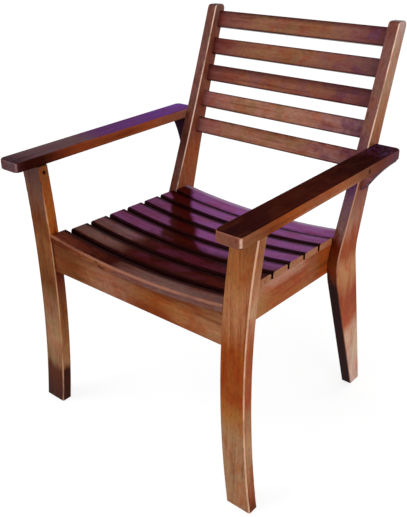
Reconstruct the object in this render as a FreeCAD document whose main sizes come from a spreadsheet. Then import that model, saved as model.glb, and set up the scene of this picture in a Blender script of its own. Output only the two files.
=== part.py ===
import FreeCAD, Part
import math
import os
import Sketcher

# Upright wooden armchair with a slatted seat and back, in millimetres.
# X runs to the sitter's left, Y to the back, Z up; the floor is Z = 0 and X = 0 is the middle.

os.makedirs("parts", exist_ok=True)
doc = FreeCAD.newDocument("chair")

# Driving sizes
SIZES = {
    # how loosely wood meets wood
    "joint_play": 0.2,
    "curved_play": 0.3,
    # back posts, bent at the seat
    "post_inner_x": 231,
    "post_thickness": 26,
    "foot_front_y": 243.6,
    "foot_depth": 42.3,
    "knee_front_y": 106.9,
    "knee_above_rail": 11,
    "knee_depth": 89,
    "knee_rise": 28,
    "knee_radius": 120,
    "post_middle_y": 210.5,
    "post_middle_z": 651,
    "post_middle_depth": 49.3,
    "post_lean_share": 0.34936,
    "post_top_z": 886,
    "post_top_depth": 37.7,
    "post_top_radius": 10,
    "post_edge_radius": 3,
    # front legs, bowed towards each other at the waist
    "leg_outset": 36,
    "leg_waist_z": 305.5,
    "leg_bow_radius": 2125,
    "leg_width": 58,
    "leg_front_y": -273.7,
    "leg_thickness": 26,
    "leg_edge_radius": 3,
    # seat, dished across and dropping a little to the rear
    "seat_low_z": 424,
    "seat_drop": 8.6,
    "dish_radius": 1700,
    "slat_thickness": 15,
    "slat_width": 51,
    "slat_gap": 7.5,
    "first_gap_setback": 24,
    "slat_overhang": 2,
    "slat_edge_radius": 5,
    "slat_end_radius": 2,
    # seat frame
    "rail_thickness": 22,
    "front_rail_height": 56,
    "tenon_thickness": 10,
    "tenon_length": 26,
    "tenon_shoulder": 12,
    "side_rail_past_knee": 76.4,
    "side_rail_past_slats": 1.25,
    "stub_length": 12,
    "rear_rail_inset": 38,
    "rear_rail_height": 48,
    # back slats, straight and let into the posts
    "back_slat_drop": 35.6,
    "back_slat_inset": 28.73,
    "back_slat_step": 62.75,
    "back_slat_lean_share": 0.33307,
    "back_slat_height": 39.6,
    "back_slat_thickness": 15,
    "back_slat_edge_radius": 2,
    "back_tenon_length": 10,
    "back_tenon_thickness": 8,
    "back_tenon_shoulder": 5,
    # arms
    "arm_past_leg": 3.65,
    "arm_taper": 2,
    "arm_overhang": 53,
    "arm_past_post": 43,
    "arm_front_z": 606,
    "arm_rise": 10.3,
    "arm_thickness": 23,
    "arm_corner_radius": 14,
    "arm_edge_radius": 4,
    # brackets under the arms
    "bracket_height": 70,
    "bracket_depth": 30,
    "bracket_inset": 8,
    "bracket_toe": 4,
    "bracket_hollow": 2.5,
    "bracket_lip": 7,
    # dowels, pegs and screws
    "arm_dowel_radius": 7,
    "arm_dowel_in_leg": 28,
    "arm_dowel_in_arm": 14,
    "peg_radius": 4,
    "peg_past_dowel": 6,
    "peg_below_arm": 14,
    "slat_dowel_radius": 3,
    "slat_dowel_in_rail": 13,
    "slat_dowel_in_slat": 7,
    "screw_shank_radius": 2.5,
    "screw_head_radius": 5,
    "screw_head_height": 3.5,
    "screw_slot_width": 1.2,
    "screw_slot_depth": 1.5,
    "post_screw_setback": 24.4,
    "post_screw_low_rise": 14,
    "post_screw_high_rise": 44,
    "post_screw_bite": 18,
    "bracket_screw_rise": 13,
    "bracket_screw_seat": 5,
    "bracket_screw_bite": 18,
    "arm_screw_drop": 24,
    "arm_screw_bite": 8,
}

sheet = doc.addObject("Spreadsheet::Sheet", "Sizes")
for row, (name, value) in enumerate(SIZES.items(), start=1):
    sheet.set(f"A{row}", name)
    sheet.set(f"B{row}", str(value))
    sheet.setAlias(f"B{row}", name)
doc.recompute()


class Size:
    """A length as a number together with the sheet formula that gives it."""

    def __init__(self, value, text):
        self.value = float(value)
        self.text = text

    def __add__(self, other):
        return Size(self.value + other.value, f"({self.text} + {other.text})")

    def __sub__(self, other):
        return Size(self.value - other.value, f"({self.text} - {other.text})")

    def __mul__(self, other):
        if isinstance(other, Size):
            return Size(self.value * other.value, f"({self.text} * {other.text})")
        return Size(self.value * other, f"({self.text} * {other})")

    def __truediv__(self, other):
        if isinstance(other, Size):
            return Size(self.value / other.value, f"({self.text} / {other.text})")
        return Size(self.value / other, f"({self.text} / {other})")

    def __neg__(self):
        return Size(-self.value, f"(-{self.text})")


class Sheet:
    """The driving sizes by name."""


S = Sheet()
for name, value in SIZES.items():
    setattr(S, name, Size(value, f"Sizes.{name}"))
ZERO = Size(0, "0")


def root(size):
    return Size(math.sqrt(size.value), f"sqrt({size.text})")


def arc_rise(radius, distance):
    """How far an arc has left its tangent at a distance along that tangent."""
    return radius - root(radius * radius - distance * distance)


class Via(tuple):
    """A point that an arc passes through between two corners."""


def origin_plane(body, role):
    for feature in body.Origin.OriginFeatures:
        if feature.Role == role:
            return feature
    raise ValueError(role)


def new_body(name):
    body = doc.addObject("PartDesign::Body", name)
    body.Label = name
    return body


def new_sketch(body, name, role, offset=ZERO):
    """A sketch on one of the body's origin planes, moved along the plane's normal."""
    sketch = body.newObject("Sketcher::SketchObject", f"{body.Name}_{name}")
    sketch.AttachmentSupport = [(origin_plane(body, role), "")]
    sketch.MapMode = "FlatFace"
    if offset is not ZERO:
        sketch.setExpression("AttachmentOffset.Base.z", offset.text)
    return sketch


def place_point(sketch, geometry, end, point):
    """Fix one end of a line, arc or point at two driven distances from the origin."""
    for kind, size in (("DistanceX", point[0]), ("DistanceY", point[1])):
        index = sketch.addConstraint(Sketcher.Constraint(kind, -1, 1, geometry, end, size.value))
        if size is not ZERO:
            sketch.setExpression(f"Constraints[{index}]", size.text)


def vector(point):
    return FreeCAD.Vector(point[0].value, point[1].value, 0)


def add_outline(sketch, points):
    """Draw one closed outline of lines and three-point arcs."""
    corners = [point for point in points if not isinstance(point, Via)]
    edges = []
    count = len(points)
    for index, point in enumerate(points):
        if isinstance(point, Via):
            continue
        after = points[(index + 1) % count]
        if isinstance(after, Via):
            end = points[(index + 2) % count]
            shape = Part.Arc(vector(point), vector(after), vector(end))
            edges.append((sketch.addGeometry(shape, False), after))
        else:
            shape = Part.LineSegment(vector(point), vector(after))
            edges.append((sketch.addGeometry(shape, False), None))
    ends = []
    for index, (edge, via) in enumerate(edges):
        turned = False
        if via is not None:
            near_end = (sketch.getPoint(edge, 1) - vector(corners[index])).Length
            far_end = (sketch.getPoint(edge, 2) - vector(corners[index])).Length
            turned = far_end < near_end
        ends.append((edge, 2, 1) if turned else (edge, 1, 2))
    for index, (edge, tail, head) in enumerate(ends):
        following = ends[(index + 1) % len(ends)]
        sketch.addConstraint(Sketcher.Constraint("Coincident", edge, head, following[0], following[1]))
        place_point(sketch, edge, tail, corners[index])
    for edge, via in edges:
        if via is not None:
            mark = sketch.addGeometry(Part.Point(vector(via)), True)
            place_point(sketch, mark, 1, via)
            sketch.addConstraint(Sketcher.Constraint("PointOnObject", mark, 1, edge))


def add_circle(sketch, centre, radius):
    normal = FreeCAD.Vector(0, 0, 1)
    edge = sketch.addGeometry(Part.Circle(vector(centre), normal, radius.value), False)
    place_point(sketch, edge, 3, centre)
    index = sketch.addConstraint(Sketcher.Constraint("Radius", edge, radius.value))
    sketch.setExpression(f"Constraints[{index}]", radius.text)


def rectangle(low, high):
    return [low, (high[0], low[1]), high, (low[0], high[1])]


def pad(body, sketch, length, symmetric=False, reverse=False):
    feature = body.newObject("PartDesign::Pad", f"{sketch.Name}_pad")
    feature.Profile = sketch
    feature.setExpression("Length", length.text)
    feature.Reversed = reverse
    if symmetric:
        feature.SideType = "Symmetric"
    sketch.Visibility = False
    return feature


def pocket(body, sketch, length, symmetric=False, reverse=False):
    """Cut a sketch into the body and make sure that it really took wood away."""
    doc.recompute()
    before = body.Shape.Volume
    feature = body.newObject("PartDesign::Pocket", f"{sketch.Name}_pocket")
    feature.Profile = sketch
    feature.setExpression("Length", length.text)
    feature.Reversed = reverse
    if symmetric:
        feature.SideType = "Symmetric"
    doc.recompute()
    if body.Shape.Volume > before - S.joint_play.value ** 3:
        raise RuntimeError(f"{feature.Name} cuts nothing")
    sketch.Visibility = False
    return feature


def round_edges(body, name, radius, wanted):
    """Fillet the edges that the wanted test picks by their bounding box."""
    doc.recompute()
    base = body.Tip
    names = []
    for index, edge in enumerate(base.Shape.Edges, start=1):
        if wanted(edge.BoundBox):
            names.append(f"Edge{index}")
    if not names:
        raise RuntimeError(f"{body.Name} {name} finds no edge")
    feature = body.newObject("PartDesign::Fillet", f"{body.Name}_{name}")
    feature.Base = (base, names)
    feature.setExpression("Radius", radius.text)
    return feature


def tilt(body, rise, run):
    """Lean a body about the X axis by a slope given as rise over run."""
    axis = FreeCAD.Vector(1, 0, 0)
    body.Placement = FreeCAD.Placement(FreeCAD.Vector(0, 0, 0), FreeCAD.Rotation(axis, 1))
    body.setExpression("Placement.Rotation.Angle", f"atan({rise.text} / {run.text})")


def set_base(body, y, z):
    body.setExpression("Placement.Base.y", y.text)
    body.setExpression("Placement.Base.z", z.text)


def mirrored(source, name):
    """The same piece for the other side of the chair."""
    twin = doc.addObject("Part::Mirroring", name)
    twin.Label = name
    twin.Source = source
    twin.Normal = FreeCAD.Vector(1, 0, 0)
    twin.Base = FreeCAD.Vector(0, 0, 0)
    return twin


# Lines that several pieces share
leg_rear_y = S.leg_front_y + S.leg_thickness
post_outer_x = S.post_inner_x + S.post_thickness
side_rail_inner_x = S.post_inner_x - S.rail_thickness
side_rail_middle_x = S.post_inner_x - S.rail_thickness / 2
leg_waist_x = post_outer_x + S.leg_outset
leg_inner_waist_x = leg_waist_x - S.leg_width
rail_bottom_z = S.seat_low_z - S.front_rail_height
knee_front_z = rail_bottom_z + S.knee_above_rail
side_rail_rear_y = S.knee_front_y + S.side_rail_past_knee
post_screw_y = S.knee_front_y + S.post_screw_setback
post_screw_heights = (rail_bottom_z + S.post_screw_low_rise, rail_bottom_z + S.post_screw_high_rise)


def post_front_y(z):
    """Front edge of the back posts between the seat and the arms."""
    rise = (z - knee_front_z) / (S.post_middle_z - knee_front_z)
    return S.knee_front_y + (S.post_middle_y - S.knee_front_y) * rise


arm_front_y = S.leg_front_y - S.arm_overhang
arm_rear_z = S.arm_front_z + S.arm_rise
arm_rear_y = post_front_y(arm_rear_z) + S.arm_past_post


def leg_outer_x(z):
    return leg_waist_x + arc_rise(S.leg_bow_radius, z - S.leg_waist_z)


def leg_inner_x(z):
    return leg_inner_waist_x + arc_rise(S.leg_bow_radius + S.leg_width, z - S.leg_waist_z)


def dish_z(x):
    """Height of the slats' underside above its lowest line."""
    return arc_rise(S.dish_radius, x)


seat_run = side_rail_rear_y - leg_rear_y


def seat_drop_at(y):
    return (y - leg_rear_y) * S.seat_drop / seat_run


def arm_under_z(y):
    return S.arm_front_z + (y - arm_front_y) * S.arm_rise / (arm_rear_y - arm_front_y)


def cut_above_arm(body):
    """Trim a piece to the sloping underside of the arm."""
    sketch = new_sketch(body, "arm_line", "YZ_Plane", leg_waist_x)
    high = arm_rear_z + S.leg_width
    add_outline(sketch, [
        (arm_front_y, S.arm_front_z),
        (arm_rear_y, arm_rear_z),
        (arm_rear_y, high),
        (arm_front_y, high),
    ])
    pocket(body, sketch, S.leg_width * 4, symmetric=True)


def cut_dish(body, y, length, symmetric=False, reverse=False):
    """Hollow the top of a rail to the underside of the slats."""
    sketch = new_sketch(body, "dish_line", "XZ_Plane", -y)
    low = S.seat_low_z - seat_drop_at(y) - S.curved_play
    edge = leg_inner_waist_x + S.leg_width
    add_outline(sketch, [
        (-edge, low + dish_z(edge)),
        Via((ZERO, low)),
        (edge, low + dish_z(edge)),
        (edge, S.arm_front_z),
        (-edge, S.arm_front_z),
    ])
    pocket(body, sketch, length, symmetric=symmetric, reverse=reverse)


pieces = []

# Front legs: flat boards bowed inwards, standing under the arms
leg = new_body("front_leg_left")
leg_top_z = arm_under_z(leg_rear_y) + S.leg_edge_radius
sketch = new_sketch(leg, "front", "XZ_Plane", -leg_rear_y)
add_outline(sketch, [
    (leg_outer_x(ZERO), ZERO),
    Via((leg_waist_x, S.leg_waist_z)),
    (leg_outer_x(leg_top_z), leg_top_z),
    (leg_inner_x(leg_top_z), leg_top_z),
    Via((leg_inner_waist_x, S.leg_waist_z)),
    (leg_inner_x(ZERO), ZERO),
])
pad(leg, sketch, S.leg_thickness)
round_edges(leg, "arrises", S.leg_edge_radius, lambda box: box.ZLength > S.leg_waist_z.value)
cut_above_arm(leg)

tenon_low_z = rail_bottom_z + S.tenon_shoulder
tenon_high_z = S.seat_low_z
tenon_middle_y = leg_rear_y - S.rail_thickness / 2
tenon_end_x = leg_inner_waist_x + S.tenon_length
sketch = new_sketch(leg, "mortise", "YZ_Plane", leg_inner_waist_x)
half_tenon = S.tenon_thickness / 2 + S.joint_play
add_outline(sketch, rectangle(
    (tenon_middle_y - half_tenon, tenon_low_z - S.joint_play),
    (tenon_middle_y + half_tenon, tenon_high_z + S.joint_play),
))
pocket(leg, sketch, S.tenon_length + S.joint_play, reverse=True)

arm_joint_x = leg_outer_x(S.arm_front_z) - S.leg_width / 2
arm_joint_y = S.leg_front_y + S.leg_thickness / 2
arm_joint_z = arm_under_z(arm_joint_y)
dowel_low_z = arm_joint_z - S.arm_dowel_in_leg
dowel_high_z = arm_joint_z + S.arm_dowel_in_arm
sketch = new_sketch(leg, "dowel_hole", "XY_Plane", dowel_low_z - S.joint_play)
add_circle(sketch, (arm_joint_x, arm_joint_y), S.arm_dowel_radius + S.joint_play)
pocket(leg, sketch, S.arm_dowel_in_leg * 2, reverse=True)

peg_z = arm_joint_z - S.peg_below_arm
peg_inner_x = leg_inner_x(peg_z)
peg_length = arm_joint_x + S.arm_dowel_radius + S.peg_past_dowel - peg_inner_x
sketch = new_sketch(leg, "peg_hole", "YZ_Plane", leg_inner_waist_x)
add_circle(sketch, (arm_joint_y, peg_z), S.peg_radius + S.joint_play)
pocket(leg, sketch, peg_inner_x - leg_inner_waist_x + peg_length + S.joint_play, reverse=True)
pieces.append(leg)
pieces.append(mirrored(leg, "front_leg_right"))

# Back posts: one bent board on each side, foot to top
post = new_body("back_post_left")
post_top_front_y = S.post_middle_y + (S.post_top_z - S.post_middle_z) * S.post_lean_share
post_top_rear_y = post_top_front_y + S.post_top_depth
knee_rear_y = S.knee_front_y + S.knee_depth
knee_rear_z = knee_front_z + S.knee_rise
sketch = new_sketch(post, "side", "YZ_Plane", S.post_inner_x)
add_outline(sketch, [
    (S.foot_front_y, ZERO),
    (S.knee_front_y, knee_front_z),
    Via((S.post_middle_y, S.post_middle_z)),
    (post_top_front_y, S.post_top_z),
    (post_top_rear_y, S.post_top_z),
    Via((S.post_middle_y + S.post_middle_depth, S.post_middle_z)),
    (knee_rear_y, knee_rear_z),
    (S.foot_front_y + S.foot_depth, ZERO),
])
pad(post, sketch, S.post_thickness)


def near(box, y, z):
    """Whether an edge runs across the chair at one place."""
    play = S.joint_play.value
    same_y = abs(box.YMin - y.value) < play and box.YLength < play
    same_z = abs(box.ZMin - z.value) < play and box.ZLength < play
    return same_y and same_z


round_edges(post, "knees", S.knee_radius, lambda box: (
    near(box, S.knee_front_y, knee_front_z) or near(box, knee_rear_y, knee_rear_z)))
round_edges(post, "top", S.post_top_radius, lambda box: (
    near(box, post_top_front_y, S.post_top_z) or near(box, post_top_rear_y, S.post_top_z)))
round_edges(post, "arrises", S.post_edge_radius, lambda box: (
    box.XLength < S.joint_play.value and box.ZMax > S.post_edge_radius.value))

# Centres of the back slats: as many as there is room for above the arms
first_slat_z = S.post_top_z - S.back_slat_drop
first_slat_y = S.post_middle_y + (first_slat_z - S.post_middle_z) * S.post_lean_share + S.back_slat_inset
back_slat_step_y = S.back_slat_step * S.back_slat_lean_share
back_slat_room = first_slat_z - S.arm_front_z + S.back_slat_height / 2
back_slat_centres = []
for number in range(int(back_slat_room.value / S.back_slat_step.value) + 1):
    y = first_slat_y - back_slat_step_y * number
    z = first_slat_z - S.back_slat_step * number
    back_slat_centres.append((y, z))

slope = root(back_slat_step_y * back_slat_step_y + S.back_slat_step * S.back_slat_step)
lean_y = back_slat_step_y / slope
lean_z = S.back_slat_step / slope


def leaning_rectangle(centre, half_height, half_thickness):
    """Corners of a rectangle that leans back with the back slats, in Y and Z."""
    corners = []
    for up, back in ((-1, -1), (-1, 1), (1, 1), (1, -1)):
        y = centre[0] + lean_y * half_height * up + lean_z * half_thickness * back
        z = centre[1] + lean_z * half_height * up - lean_y * half_thickness * back
        corners.append((y, z))
    return corners


back_tenon_half_height = S.back_slat_height / 2 - S.back_tenon_shoulder
back_tenon_half_thickness = S.back_tenon_thickness / 2
sketch = new_sketch(post, "slat_mortises", "YZ_Plane", S.post_inner_x)
for centre in back_slat_centres:
    add_outline(sketch, leaning_rectangle(
        centre,
        back_tenon_half_height + S.joint_play,
        back_tenon_half_thickness + S.joint_play,
    ))
pocket(post, sketch, S.back_tenon_length + S.joint_play, reverse=True)

post_screw_end_x = S.post_inner_x + S.post_screw_bite
sketch = new_sketch(post, "rail_screw_holes", "YZ_Plane", S.post_inner_x)
for z in post_screw_heights:
    add_circle(sketch, (post_screw_y, z), S.screw_shank_radius + S.joint_play)
pocket(post, sketch, S.post_screw_bite + S.joint_play, reverse=True)

bracket_high_y = arm_rear_y - S.bracket_depth
bracket_low_z = arm_rear_z - S.bracket_height
bracket_low_y = bracket_high_y - S.bracket_height * S.post_lean_share
bracket_screw_z = bracket_low_z + S.bracket_screw_rise
bracket_screw_y = bracket_low_y + S.bracket_screw_rise * S.post_lean_share + S.bracket_depth / 2
sketch = new_sketch(post, "bracket_screw_hole", "YZ_Plane", post_outer_x)
add_circle(sketch, (bracket_screw_y, bracket_screw_z), S.screw_shank_radius + S.joint_play)
pocket(post, sketch, S.bracket_screw_bite + S.joint_play)
pieces.append(post)
pieces.append(mirrored(post, "back_post_right"))

# Front rail: between the legs, shoulders cut to their bow, top hollowed for the slats
rail = new_body("front_rail")
rail_top_z = S.seat_low_z + dish_z(leg_inner_waist_x)
rail_middle_z = (rail_bottom_z + rail_top_z) / 2
sketch = new_sketch(rail, "front", "XZ_Plane", -leg_rear_y)
low_x = leg_inner_x(rail_bottom_z) - S.curved_play
middle_x = leg_inner_x(rail_middle_z) - S.curved_play
high_x = leg_inner_x(rail_top_z) - S.curved_play
add_outline(sketch, [
    (-low_x, rail_bottom_z),
    (low_x, rail_bottom_z),
    Via((middle_x, rail_middle_z)),
    (high_x, rail_top_z),
    (-high_x, rail_top_z),
    Via((-middle_x, rail_middle_z)),
])
pad(rail, sketch, S.rail_thickness)
sketch = new_sketch(rail, "tenons", "XZ_Plane", -(tenon_middle_y + S.tenon_thickness / 2))
add_outline(sketch, rectangle((-tenon_end_x, tenon_low_z), (tenon_end_x, tenon_high_z)))
pad(rail, sketch, S.tenon_thickness)
cut_dish(rail, leg_rear_y, S.rail_thickness * 2, symmetric=True)
stub_low_z = rail_bottom_z + S.tenon_shoulder
stub_high_z = S.seat_low_z
stub_half = S.tenon_thickness / 2
sketch = new_sketch(rail, "side_rail_mortises", "XZ_Plane", -leg_rear_y)
for side in (-1, 1):
    middle = side_rail_middle_x * side
    half = stub_half + S.joint_play
    add_outline(sketch, rectangle(
        (middle - half, stub_low_z - S.joint_play),
        (middle + half, stub_high_z + S.joint_play),
    ))
pocket(rail, sketch, S.stub_length + S.joint_play, reverse=True)

# Side rails: flat against the posts' inner faces, dropping a little to the rear
side = new_body("side_rail_left")
side_top_z = S.seat_low_z + dish_z(S.post_inner_x)
sketch = new_sketch(side, "side", "YZ_Plane", S.post_inner_x)
rear_y = side_rail_rear_y
add_outline(sketch, [
    (leg_rear_y, rail_bottom_z),
    (rear_y, rail_bottom_z - seat_drop_at(rear_y)),
    (rear_y, side_top_z - seat_drop_at(rear_y)),
    (leg_rear_y, side_top_z),
])
pad(side, sketch, S.rail_thickness, reverse=True)
sketch = new_sketch(side, "dish_line", "XZ_Plane")
sketch.AttachmentOffset = FreeCAD.Placement(
    FreeCAD.Vector(0, 0, 0), FreeCAD.Rotation(FreeCAD.Vector(1, 0, 0), 1))
sketch.setExpression("AttachmentOffset.Base.y", (S.seat_low_z - S.curved_play).text)
sketch.setExpression("AttachmentOffset.Base.z", (-leg_rear_y).text)
sketch.setExpression(
    "AttachmentOffset.Rotation.Angle", f"-atan({S.seat_drop.text} / {seat_run.text})")
outer = post_outer_x
inner = side_rail_inner_x - S.rail_thickness
middle = (outer + inner) / 2
add_outline(sketch, [
    (inner, dish_z(inner)),
    Via((middle, dish_z(middle))),
    (outer, dish_z(outer)),
    (outer, dish_z(outer) + S.rail_thickness),
    (inner, dish_z(outer) + S.rail_thickness),
])
pocket(side, sketch, seat_run * 3, symmetric=True)
round_edges(side, "arrises", S.slat_end_radius, lambda box: (
    box.XLength < S.joint_play.value and box.YLength > seat_run.value / 2
    and box.ZMin < S.seat_low_z.value))
sketch = new_sketch(side, "stub_tenon", "XZ_Plane", -leg_rear_y)
add_outline(sketch, rectangle(
    (side_rail_middle_x - stub_half, stub_low_z), (side_rail_middle_x + stub_half, stub_high_z)))
pad(side, sketch, S.stub_length)
rear_rail_front_y = side_rail_rear_y - S.rear_rail_inset
rear_rail_middle_y = rear_rail_front_y + S.rail_thickness / 2
rear_rail_top_z = S.seat_low_z - seat_drop_at(rear_rail_front_y)
rear_rail_low_z = rear_rail_top_z - S.rear_rail_height + S.curved_play
rear_stub_low_z = rear_rail_low_z + S.tenon_shoulder
rear_stub_high_z = rear_rail_top_z - S.tenon_shoulder
sketch = new_sketch(side, "rear_rail_mortise", "YZ_Plane", side_rail_inner_x)
half = stub_half + S.joint_play
add_outline(sketch, rectangle(
    (rear_rail_middle_y - half, rear_stub_low_z - S.joint_play),
    (rear_rail_middle_y + half, rear_stub_high_z + S.joint_play),
))
pocket(side, sketch, S.stub_length + S.joint_play, reverse=True)
sketch = new_sketch(side, "screw_holes", "YZ_Plane", side_rail_inner_x)
for z in post_screw_heights:
    add_circle(sketch, (post_screw_y, z), S.screw_shank_radius + S.joint_play)
pocket(side, sketch, S.rail_thickness, reverse=True)
sketch = new_sketch(side, "screw_heads", "YZ_Plane", side_rail_inner_x)
for z in post_screw_heights:
    add_circle(sketch, (post_screw_y, z), S.screw_head_radius + S.joint_play)
pocket(side, sketch, S.screw_head_height, reverse=True)

# Rear rail: between the side rails under the last slat
rear = new_body("rear_rail")
sketch = new_sketch(rear, "front", "XZ_Plane", -rear_rail_middle_y)
add_outline(sketch, rectangle(
    (-side_rail_inner_x, rear_rail_low_z),
    (side_rail_inner_x, rear_rail_top_z + S.rail_thickness),
))
pad(rear, sketch, S.rail_thickness, symmetric=True)
rear_rail_rear_y = rear_rail_front_y + S.rail_thickness
cut_dish(rear, rear_rail_rear_y, S.rail_thickness * 3, symmetric=True)
sketch = new_sketch(rear, "tenons", "XZ_Plane", -rear_rail_middle_y)
rear_tenon_x = side_rail_inner_x + S.stub_length
add_outline(sketch, rectangle((-rear_tenon_x, rear_stub_low_z), (rear_tenon_x, rear_stub_high_z)))
pad(rear, sketch, S.tenon_thickness, symmetric=True)
pieces.append(rail)
pieces.append(rear)

# Seat slats: boards dished across, the first one let in between the legs
first_gap_y = leg_rear_y + S.first_gap_setback
last_gap_y = side_rail_rear_y + S.slat_gap / 2 - S.side_rail_past_slats
slat_count = round((last_gap_y - first_gap_y).value / (S.slat_width + S.slat_gap).value)
slat_pitch = (last_gap_y - first_gap_y) / slat_count
first_slat_rear_y = first_gap_y - S.slat_gap / 2
first_slat_width = first_slat_rear_y - S.leg_front_y
slat_half_length = S.post_inner_x + S.slat_overhang
first_half_length = leg_inner_x(S.seat_low_z + dish_z(slat_half_length)) - S.curved_play
last_half_length = S.post_inner_x - S.curved_play
slat_middles = [S.leg_front_y + first_slat_width / 2]
slat_widths = [first_slat_width]
slat_half_lengths = [first_half_length]
for number in range(slat_count):
    slat_middles.append(first_gap_y + slat_pitch * number + slat_pitch / 2)
    slat_widths.append(S.slat_width)
    slat_half_lengths.append(slat_half_length)
slat_half_lengths[-1] = last_half_length
front_rail_dowel_y = leg_rear_y - S.rail_thickness / 2
front_rail_dowel_x = S.post_inner_x - S.rail_thickness * 2
dowel_spots = [(front_rail_dowel_x, front_rail_dowel_y - slat_middles[0])]
for number in range(slat_count):
    dowel_spots.append((side_rail_middle_x, ZERO))

for number in range(slat_count + 1):
    slat = new_body(f"seat_slat_{number + 1}")
    half = slat_half_lengths[number]
    edge_z = dish_z(half)
    sketch = new_sketch(slat, "front", "XZ_Plane")
    add_outline(sketch, [
        (-half, edge_z),
        Via((ZERO, ZERO)),
        (half, edge_z),
        (half, edge_z + S.slat_thickness),
        Via((ZERO, S.slat_thickness)),
        (-half, edge_z + S.slat_thickness),
    ])
    pad(slat, sketch, slat_widths[number], symmetric=True)
    round_edges(slat, "top", S.slat_edge_radius, lambda box: (
        box.YLength < S.joint_play.value and box.XLength > slat_half_length.value
        and box.ZMax > edge_z.value + S.slat_edge_radius.value))
    dowel_x, dowel_y = dowel_spots[number]
    sketch = new_sketch(slat, "dowel_holes", "XY_Plane", dish_z(dowel_x) + S.slat_dowel_in_slat + S.joint_play)
    for side_sign in (-1, 1):
        add_circle(sketch, (dowel_x * side_sign, dowel_y), S.slat_dowel_radius + S.joint_play)
    pocket(slat, sketch, S.slat_thickness)
    tilt(slat, -S.seat_drop, seat_run)
    set_base(slat, slat_middles[number], S.seat_low_z - seat_drop_at(slat_middles[number]))
    pieces.append(slat)

# Dowel holes in the rails, square to the seat
sketch = new_sketch(side, "dowel_holes", "XY_Plane")
sketch.AttachmentOffset = FreeCAD.Placement(
    FreeCAD.Vector(0, 0, 0), FreeCAD.Rotation(FreeCAD.Vector(1, 0, 0), 1))
dowel_floor = S.slat_dowel_in_rail + S.joint_play
side_dowel_z = dish_z(side_rail_middle_x)
sketch.setExpression("AttachmentOffset.Base.y", leg_rear_y.text)
sketch.setExpression("AttachmentOffset.Base.z", (S.seat_low_z + side_dowel_z - dowel_floor).text)
sketch.setExpression(
    "AttachmentOffset.Rotation.Angle", f"-atan({S.seat_drop.text} / {seat_run.text})")
for number in range(1, slat_count + 1):
    spot = (side_rail_middle_x, slat_middles[number] - leg_rear_y)
    add_circle(sketch, spot, S.slat_dowel_radius + S.joint_play)
pocket(side, sketch, S.rail_thickness, reverse=True)
pieces.append(side)
pieces.append(mirrored(side, "side_rail_right"))

front_dowel_z = S.seat_low_z + dish_z(front_rail_dowel_x) - dowel_floor
sketch = new_sketch(rail, "dowel_holes", "XY_Plane", front_dowel_z)
for side_sign in (-1, 1):
    add_circle(sketch, (front_rail_dowel_x * side_sign, front_rail_dowel_y), S.slat_dowel_radius + S.joint_play * 2)
pocket(rail, sketch, S.rail_thickness, reverse=True)

# Back slats: straight boards leaning back, with stub tenons in the posts
for number, (y, z) in enumerate(back_slat_centres):
    slat = new_body(f"back_slat_{number + 1}")
    sketch = new_sketch(slat, "front", "XZ_Plane")
    half_height = S.back_slat_height / 2
    add_outline(sketch, rectangle((-S.post_inner_x, -half_height), (S.post_inner_x, half_height)))
    pad(slat, sketch, S.back_slat_thickness, symmetric=True)
    round_edges(slat, "arrises", S.back_slat_edge_radius, lambda box: box.XLength > S.post_inner_x.value)
    sketch = new_sketch(slat, "tenons", "XZ_Plane")
    tenon_x = S.post_inner_x + S.back_tenon_length
    add_outline(sketch, rectangle(
        (-tenon_x, -back_tenon_half_height), (tenon_x, back_tenon_half_height)))
    pad(slat, sketch, S.back_tenon_thickness, symmetric=True)
    tilt(slat, -back_slat_step_y, S.back_slat_step)
    set_base(slat, y, z)
    pieces.append(slat)

# Arms: flat boards against the posts' outer faces, rising slightly to the rear
arm = new_body("armrest_left")
arm_outer_x = leg_outer_x(S.arm_front_z) + S.arm_past_leg
sketch = new_sketch(arm, "side", "YZ_Plane", post_outer_x)
add_outline(sketch, [
    (arm_front_y, S.arm_front_z),
    (arm_rear_y, arm_rear_z),
    (arm_rear_y, arm_rear_z + S.arm_thickness),
    (arm_front_y, S.arm_front_z + S.arm_thickness),
])
pad(arm, sketch, arm_outer_x - post_outer_x)
sketch = new_sketch(arm, "taper", "XY_Plane", S.post_top_z)
add_outline(sketch, [
    (post_outer_x, arm_front_y),
    (post_outer_x + S.arm_taper, arm_front_y),
    (post_outer_x, arm_rear_y),
])
pocket(arm, sketch, S.post_top_z)
round_edges(arm, "corners", S.arm_corner_radius, lambda box: (
    box.ZLength > (S.arm_thickness - S.joint_play).value
    and (box.YMin < S.leg_front_y.value or box.XMin > (arm_outer_x - S.joint_play).value)))
round_edges(arm, "arrises", S.arm_edge_radius, lambda box: (
    box.ZLength < (S.arm_thickness - S.joint_play).value))
sketch = new_sketch(arm, "dowel_hole", "XY_Plane", dowel_high_z + S.joint_play)
add_circle(sketch, (arm_joint_x, arm_joint_y), S.arm_dowel_radius + S.joint_play)
pocket(arm, sketch, S.arm_dowel_in_arm * 2)
bracket_reach_x = arm_outer_x - S.bracket_inset
arm_screw_x = (post_outer_x + bracket_reach_x) / 2
arm_screw_head_z = arm_rear_z - S.arm_screw_drop
arm_screw_y = bracket_high_y - S.arm_screw_drop * S.post_lean_share + S.bracket_depth / 2
arm_screw_length = arm_under_z(arm_screw_y) - arm_screw_head_z + S.arm_screw_bite
sketch = new_sketch(arm, "bracket_screw_hole", "XY_Plane", arm_screw_head_z + arm_screw_length + S.joint_play)
add_circle(sketch, (arm_screw_x, arm_screw_y), S.screw_shank_radius + S.joint_play)
pocket(arm, sketch, S.arm_thickness)
pieces.append(arm)
pieces.append(mirrored(arm, "armrest_right"))

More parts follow.
